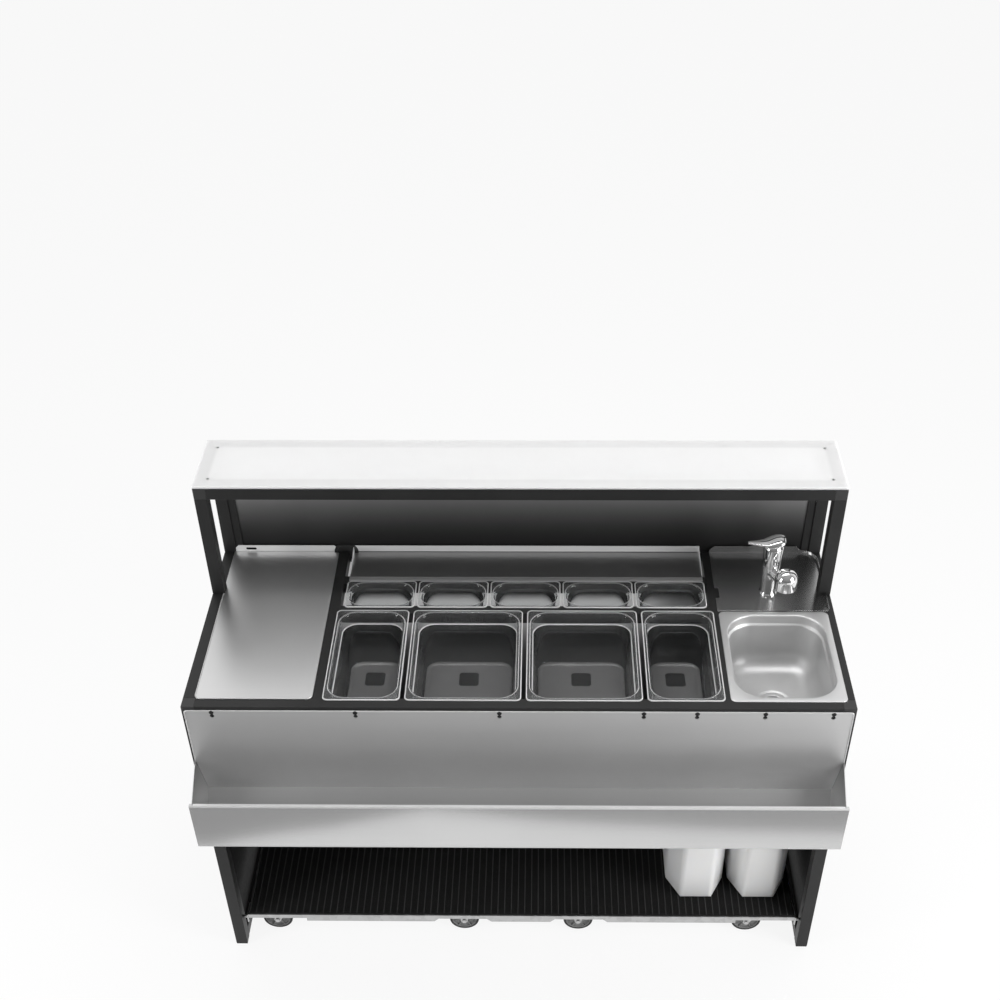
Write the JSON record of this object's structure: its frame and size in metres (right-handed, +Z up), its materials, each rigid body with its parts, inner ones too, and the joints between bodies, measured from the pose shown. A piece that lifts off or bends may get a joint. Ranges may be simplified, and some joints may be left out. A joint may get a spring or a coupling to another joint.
{
  "type": "mobile bar unit",
  "caption": "Knock-down mobile bar with a raised counter, clear gastronorm pans, sink with mixer tap, hung bottle rail, water cans and a castor trolley that forms the bottom shelf.",
  "frame": {"origin": "on the floor, under the middle of the whole unit's box", "axes": "+X along the unit to the worker's right, -Y towards the worker, +Z up"},
  "size_m": [1.52, 0.73, 1.172],
  "materials": {
    "frame_paint": "fine matt black powder coat",
    "connector_black": "moulded black nylon",
    "foot_rubber": "matt",
    "slab_white": "satin opal white",
    "zinc_steel": "zinc plated",
    "panel_anthracite": "satin anthracite",
    "side_board": "matt black board",
    "stainless": "brushed along its length",
    "chrome": "polished",
    "brass_nut": "machined",
    "galvanised": "galvanised",
    "mat_rubber": "ribbed matt",
    "clear_plastic": "clear polycarbonate",
    "wheel_rubber": "matt",
    "can_white": "blown natural white",
    "cap_white": "moulded"
  },
  "bodies": {
    "unit": {"front_legs": "frame_paint", "rear_legs": "frame_paint", "worktop_beams": "frame_paint", "bay_dividers": "frame_paint", "pan_crossbars": "frame_paint", "corner_connectors": "connector_black", "floor_rails": "frame_paint", "foot_pads": "foot_rubber", "counter_uprights": "frame_paint", "counter_beams": "frame_paint", "counter_slab": "slab_white", "panel_screws": "zinc_steel", "rear_panel_upper": "panel_anthracite", "rear_panel_lower": "stainless", "panel_strips": "panel_anthracite", "side_panels": "side_board", "rail_studs": "frame_paint", "rear_filler": "stainless", "cable_grommet": "foot_rubber", "sink_deck": "stainless", "sink_bowl": "stainless", "sink_drain": "stainless", "tap_body": "chrome", "tap_locknut": "brass_nut", "shelf_tray": "galvanised", "shelf_mat": "mat_rubber", "shelf_hooks": "zinc_steel", "hook_pins": "zinc_steel", "castor_plates": "zinc_steel", "fixed_forks": "zinc_steel"},
    "work_cover": {"work_cover": "stainless"},
    "speed_rail": {"speed_rail": "stainless"},
    "tap_spout": {"tap_spout": "chrome"},
    "tap_cap": {"tap_cap": "chrome"},
    "tap_lever": {"tap_lever": "chrome"},
    "pan_third_left": {"pan_third_left": "clear_plastic"},
    "pan_half_left": {"pan_half_left": "clear_plastic"},
    "pan_half_right": {"pan_half_right": "clear_plastic"},
    "pan_third_right": {"pan_third_right": "clear_plastic"},
    "pan_ninth_1": {"pan_ninth_1": "clear_plastic"},
    "pan_ninth_2": {"pan_ninth_2": "clear_plastic"},
    "pan_ninth_3": {"pan_ninth_3": "clear_plastic"},
    "pan_ninth_4": {"pan_ninth_4": "clear_plastic"},
    "pan_ninth_5": {"pan_ninth_5": "clear_plastic"},
    "swivel_fork_front_left": {"swivel_fork_front_left": "zinc_steel"},
    "swivel_fork_front_right": {"swivel_fork_front_right": "zinc_steel"},
    "swivel_fork_rear_left": {"swivel_fork_rear_left": "zinc_steel"},
    "swivel_fork_rear_right": {"swivel_fork_rear_right": "zinc_steel"},
    "swivel_wheel_front_left": {"swivel_wheel_front_left": "wheel_rubber"},
    "swivel_wheel_front_right": {"swivel_wheel_front_right": "wheel_rubber"},
    "swivel_wheel_rear_left": {"swivel_wheel_rear_left": "wheel_rubber"},
    "swivel_wheel_rear_right": {"swivel_wheel_rear_right": "wheel_rubber"},
    "fixed_wheel_front_left": {"fixed_wheel_front_left": "wheel_rubber"},
    "fixed_wheel_front_right": {"fixed_wheel_front_right": "wheel_rubber"},
    "fixed_wheel_rear_left": {"fixed_wheel_rear_left": "wheel_rubber"},
    "fixed_wheel_rear_right": {"fixed_wheel_rear_right": "wheel_rubber"},
    "can_left": {"can_left": "can_white"},
    "can_right": {"can_right": "can_white"},
    "can_cap_left": {"can_cap_left": "cap_white"},
    "can_cap_right": {"can_cap_right": "cap_white"}
  },
  "joints": [
    {"name": "pan_third_left_lift", "type": "slide", "parent": "unit", "child": "pan_third_left", "axis": [0, 0, 1], "range_m": [0, 0.3]},
    {"name": "pan_half_left_lift", "type": "slide", "parent": "unit", "child": "pan_half_left", "axis": [0, 0, 1], "range_m": [0, 0.3]},
    {"name": "pan_half_right_lift", "type": "slide", "parent": "unit", "child": "pan_half_right", "axis": [0, 0, 1], "range_m": [0, 0.3]},
    {"name": "pan_third_right_lift", "type": "slide", "parent": "unit", "child": "pan_third_right", "axis": [0, 0, 1], "range_m": [0, 0.3]},
    {"name": "pan_ninth_1_lift", "type": "slide", "parent": "unit", "child": "pan_ninth_1", "axis": [0, 0, 1], "range_m": [0, 0.2]},
    {"name": "pan_ninth_2_lift", "type": "slide", "parent": "unit", "child": "pan_ninth_2", "axis": [0, 0, 1], "range_m": [0, 0.2]},
    {"name": "pan_ninth_3_lift", "type": "slide", "parent": "unit", "child": "pan_ninth_3", "axis": [0, 0, 1], "range_m": [0, 0.2]},
    {"name": "pan_ninth_4_lift", "type": "slide", "parent": "unit", "child": "pan_ninth_4", "axis": [0, 0, 1], "range_m": [0, 0.2]},
    {"name": "pan_ninth_5_lift", "type": "slide", "parent": "unit", "child": "pan_ninth_5", "axis": [0, 0, 1], "range_m": [0, 0.2]},
    {"name": "cover_lift", "type": "slide", "parent": "unit", "child": "work_cover", "axis": [0, 0, 1], "range_m": [0, 0.2]},
    {"name": "rail_lift", "type": "slide", "parent": "unit", "child": "speed_rail", "axis": [0, 0, 1], "range_m": [0, 0.012]},
    {"name": "spout_swivel", "type": "hinge", "parent": "unit", "child": "tap_spout", "pos_m": [0.608, 0.174, 0.95], "axis": [0, 0, 1], "range_deg": [-60, 30]},
    {"name": "mixer_turn", "type": "hinge", "parent": "unit", "child": "tap_cap", "pos_m": [0.608, 0.174, 0.98], "axis": [0, 0, 1], "range_deg": [-45, 45]},
    {"name": "lever_lift", "type": "hinge", "parent": "tap_cap", "child": "tap_lever", "pos_m": [0.608, 0.174, 0.9875], "axis": [0, 1, 0], "range_deg": [0, 25]},
    {"name": "swivel_front_left", "type": "hinge", "parent": "unit", "child": "swivel_fork_front_left", "pos_m": [-0.626, -0.185, 0.1], "axis": [0, 0, 1], "continuous": true},
    {"name": "swivel_spin_front_left", "type": "hinge", "parent": "swivel_fork_front_left", "child": "swivel_wheel_front_left", "pos_m": [-0.652, -0.185, 0.04], "axis": [0, 1, 0], "continuous": true},
    {"name": "fixed_spin_front_left", "type": "hinge", "parent": "unit", "child": "fixed_wheel_front_left", "pos_m": [-0.152, -0.185, 0.04], "axis": [0, 1, 0], "continuous": true},
    {"name": "swivel_front_right", "type": "hinge", "parent": "unit", "child": "swivel_fork_front_right", "pos_m": [0.626, -0.185, 0.1], "axis": [0, 0, 1], "continuous": true},
    {"name": "swivel_spin_front_right", "type": "hinge", "parent": "swivel_fork_front_right", "child": "swivel_wheel_front_right", "pos_m": [0.6, -0.185, 0.04], "axis": [0, 1, 0], "continuous": true},
    {"name": "fixed_spin_front_right", "type": "hinge", "parent": "unit", "child": "fixed_wheel_front_right", "pos_m": [0.152, -0.185, 0.04], "axis": [0, 1, 0], "continuous": true},
    {"name": "swivel_rear_left", "type": "hinge", "parent": "unit", "child": "swivel_fork_rear_left", "pos_m": [-0.626, 0.272, 0.1], "axis": [0, 0, 1], "continuous": true},
    {"name": "swivel_spin_rear_left", "type": "hinge", "parent": "swivel_fork_rear_left", "child": "swivel_wheel_rear_left", "pos_m": [-0.652, 0.272, 0.04], "axis": [0, 1, 0], "continuous": true},
    {"name": "fixed_spin_rear_left", "type": "hinge", "parent": "unit", "child": "fixed_wheel_rear_left", "pos_m": [-0.152, 0.272, 0.04], "axis": [0, 1, 0], "continuous": true},
    {"name": "swivel_rear_right", "type": "hinge", "parent": "unit", "child": "swivel_fork_rear_right", "pos_m": [0.626, 0.272, 0.1], "axis": [0, 0, 1], "continuous": true},
    {"name": "swivel_spin_rear_right", "type": "hinge", "parent": "swivel_fork_rear_right", "child": "swivel_wheel_rear_right", "pos_m": [0.6, 0.272, 0.04], "axis": [0, 1, 0], "continuous": true},
    {"name": "fixed_spin_rear_right", "type": "hinge", "parent": "unit", "child": "fixed_wheel_rear_right", "pos_m": [0.152, 0.272, 0.04], "axis": [0, 1, 0], "continuous": true},
    {"name": "can_slide_left", "type": "slide", "parent": "unit", "child": "can_left", "axis": [0, -1, 0], "range_m": [0, 0.35]},
    {"name": "can_cap_turn_left", "type": "hinge", "parent": "can_left", "child": "can_cap_left", "pos_m": [0.46, -0.001, 0.43], "axis": [0, 0, 1], "continuous": true},
    {"name": "can_slide_right", "type": "slide", "parent": "unit", "child": "can_right", "axis": [0, -1, 0], "range_m": [0, 0.35]},
    {"name": "can_cap_turn_right", "type": "hinge", "parent": "can_right", "child": "can_cap_right", "pos_m": [0.624, -0.001, 0.43], "axis": [0, 0, 1], "continuous": true}
  ]
}
